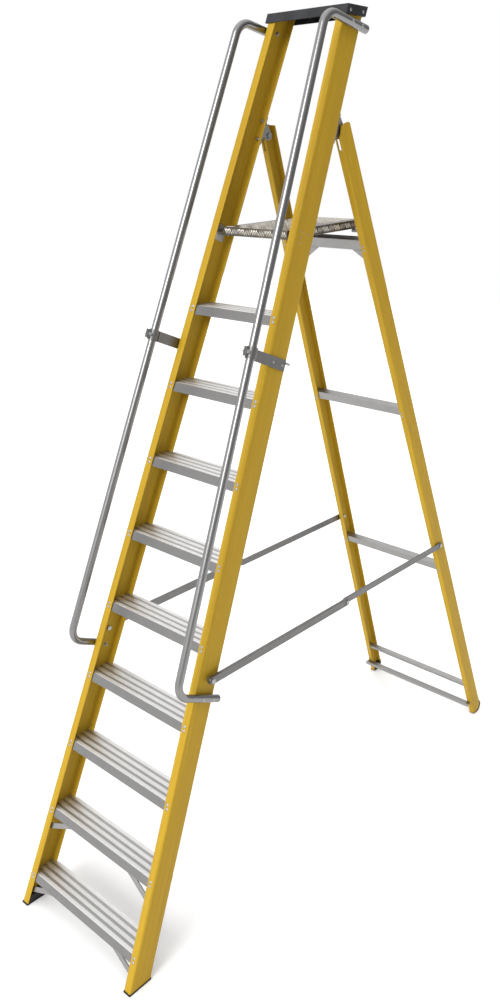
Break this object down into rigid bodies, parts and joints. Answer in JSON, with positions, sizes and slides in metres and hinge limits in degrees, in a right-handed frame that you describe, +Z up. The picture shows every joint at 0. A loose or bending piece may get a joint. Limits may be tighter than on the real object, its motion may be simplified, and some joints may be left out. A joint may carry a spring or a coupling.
{
  "type": "platform step ladder",
  "caption": "Folding platform step ladder: yellow fibreglass frames, ribbed aluminium treads, tube handrails, hinged standing deck, side stays and a black top cap.",
  "frame": {"origin": "on the ground in the centre plane, half way between the front edge of the front feet and the back edge of the rear feet", "axes": "+Z up, +Y from the climbing side towards the rear legs, +X to the climber's right; the ladder is open as in use"},
  "size_m": [0.64, 2.3028, 3.02],
  "materials": {
    "yellow_fibreglass": "satin pultruded fibreglass",
    "tread_aluminium": "ribbed extrusion, satin mill finish",
    "deck_aluminium": "satin mill finish sheet with diamond pattern",
    "tube_aluminium": "drawn tube, satin",
    "bar_aluminium": "satin mill finish",
    "stay_aluminium": "dull dark mill finish",
    "zinc_steel": "zinc plated",
    "black_plastic": "moulded, fine grain",
    "black_rubber": "matt"
  },
  "bodies": {
    "front_frame": {"front_stile_left": "yellow_fibreglass", "front_stile_right": "yellow_fibreglass", "front_foot_left": "black_rubber", "front_foot_right": "black_rubber", "tread_1": "tread_aluminium", "tread_2": "tread_aluminium", "tread_3": "tread_aluminium", "tread_4": "tread_aluminium", "tread_5": "tread_aluminium", "tread_6": "tread_aluminium", "tread_7": "tread_aluminium", "tread_8": "tread_aluminium", "tread_9": "tread_aluminium", "knee_brace_1_left": "bar_aluminium", "knee_brace_1_right": "bar_aluminium", "knee_brace_2_left": "bar_aluminium", "knee_brace_2_right": "bar_aluminium", "top_cap": "black_plastic", "handrail_left": "tube_aluminium", "handrail_right": "tube_aluminium", "handrail_bracket_left": "zinc_steel", "handrail_bracket_right": "zinc_steel", "hinge_bracket_left": "zinc_steel", "hinge_bracket_right": "zinc_steel", "hinge_pin_left": "zinc_steel", "hinge_pin_right": "zinc_steel", "rod_bracket_left": "zinc_steel", "rod_bracket_right": "zinc_steel", "platform_rod": "zinc_steel", "stay_pin_front_left": "zinc_steel", "stay_pin_front_right": "zinc_steel"},
    "rear_frame": {"rear_leg_left": "yellow_fibreglass", "rear_leg_right": "yellow_fibreglass", "rear_foot_left": "black_rubber", "rear_foot_right": "black_rubber", "rear_bar_1": "bar_aluminium", "rear_bar_2": "bar_aluminium", "rear_bar_3": "bar_aluminium", "rear_bar_4": "bar_aluminium", "gusset_left": "bar_aluminium", "gusset_right": "bar_aluminium", "deck_rest_left": "zinc_steel", "deck_rest_right": "zinc_steel", "rear_front_bar": "bar_aluminium", "stay_pin_rear_left": "zinc_steel", "stay_pin_rear_right": "zinc_steel"},
    "platform": {"platform": "deck_aluminium"},
    "stay_front_left": {"stay_front_left": "stay_aluminium", "knuckle_pin_left": "zinc_steel"},
    "stay_front_right": {"stay_front_right": "stay_aluminium", "knuckle_pin_right": "zinc_steel"},
    "stay_rear_left": {"stay_rear_left": "stay_aluminium"},
    "stay_rear_right": {"stay_rear_right": "stay_aluminium"}
  },
  "joints": [
    {"name": "frame_fold", "type": "hinge", "parent": "front_frame", "child": "rear_frame", "pos_m": [0, 0.05691, 2.65453], "axis": [-1, 0, 0], "range_deg": [0, 43.3]},
    {"name": "platform_fold", "type": "hinge", "parent": "front_frame", "child": "platform", "pos_m": [0, -0.165, 2.352], "axis": [1, 0, 0], "range_deg": [0, 65.45]},
    {"name": "stay_front_left_fold", "type": "hinge", "parent": "front_frame", "child": "stay_front_left", "pos_m": [0, -0.6998, 1.00763], "axis": [1, 0, 0], "range_deg": [0, 74.92]},
    {"name": "stay_rear_left_fold", "type": "hinge", "parent": "rear_frame", "child": "stay_rear_left", "pos_m": [0, 0.70714, 1.03544], "axis": [-1, 0, 0], "range_deg": [0, 53.49]},
    {"name": "stay_front_right_fold", "type": "hinge", "parent": "front_frame", "child": "stay_front_right", "pos_m": [0, -0.6998, 1.00763], "axis": [1, 0, 0], "range_deg": [0, 74.92]},
    {"name": "stay_rear_right_fold", "type": "hinge", "parent": "rear_frame", "child": "stay_rear_right", "pos_m": [0, 0.70714, 1.03544], "axis": [-1, 0, 0], "range_deg": [0, 53.49]}
  ],
  "couplings": [
    {"joint": "platform_fold", "follows": "frame_fold", "ratio": 1.5},
    {"joint": "stay_front_left_fold", "follows": "frame_fold", "ratio": 1.7188},
    {"joint": "stay_rear_left_fold", "follows": "frame_fold", "ratio": 1.2238},
    {"joint": "stay_front_right_fold", "follows": "frame_fold", "ratio": 1.7188},
    {"joint": "stay_rear_right_fold", "follows": "frame_fold", "ratio": 1.2238}
  ]
}
